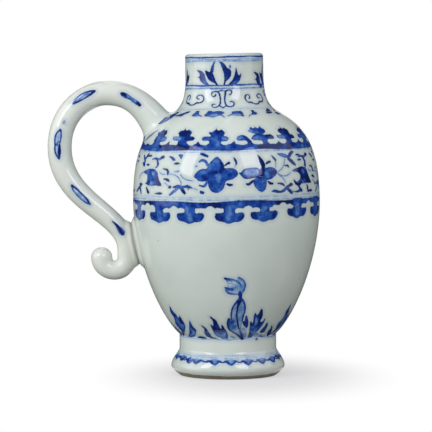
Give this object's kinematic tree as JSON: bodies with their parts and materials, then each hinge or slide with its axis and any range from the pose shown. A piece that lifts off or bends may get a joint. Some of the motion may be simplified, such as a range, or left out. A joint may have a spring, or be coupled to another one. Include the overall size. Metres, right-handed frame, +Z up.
{
  "type": "porcelain jug",
  "caption": "Ovoid porcelain jug with a spreading foot, straight cylindrical neck and a rolled loop handle that ends in an outward curl; pours and holds liquid.",
  "frame": {"origin": "centre of the flat base, on the plane the jug stands on", "axes": "+Z up along the jug's turning axis, -X towards the handle, +Y away from the picture's viewer"},
  "size_m": [0.1887, 0.13, 0.2234],
  "materials": {
    "glazed_porcelain": "glossy clear glaze over cobalt painting",
    "porcelain_slip": "fired slip"
  },
  "bodies": {
    "root": {"foot": "glazed_porcelain", "foot_slip_joint": "porcelain_slip", "lower_body": "glazed_porcelain", "belly_slip_joint": "porcelain_slip", "upper_body": "glazed_porcelain", "neck_slip_joint": "porcelain_slip", "neck": "glazed_porcelain", "handle": "glazed_porcelain", "handle_root_slip_joint": "porcelain_slip", "handle_tail_slip_joint": "porcelain_slip"}
  },
  "joints": []
}
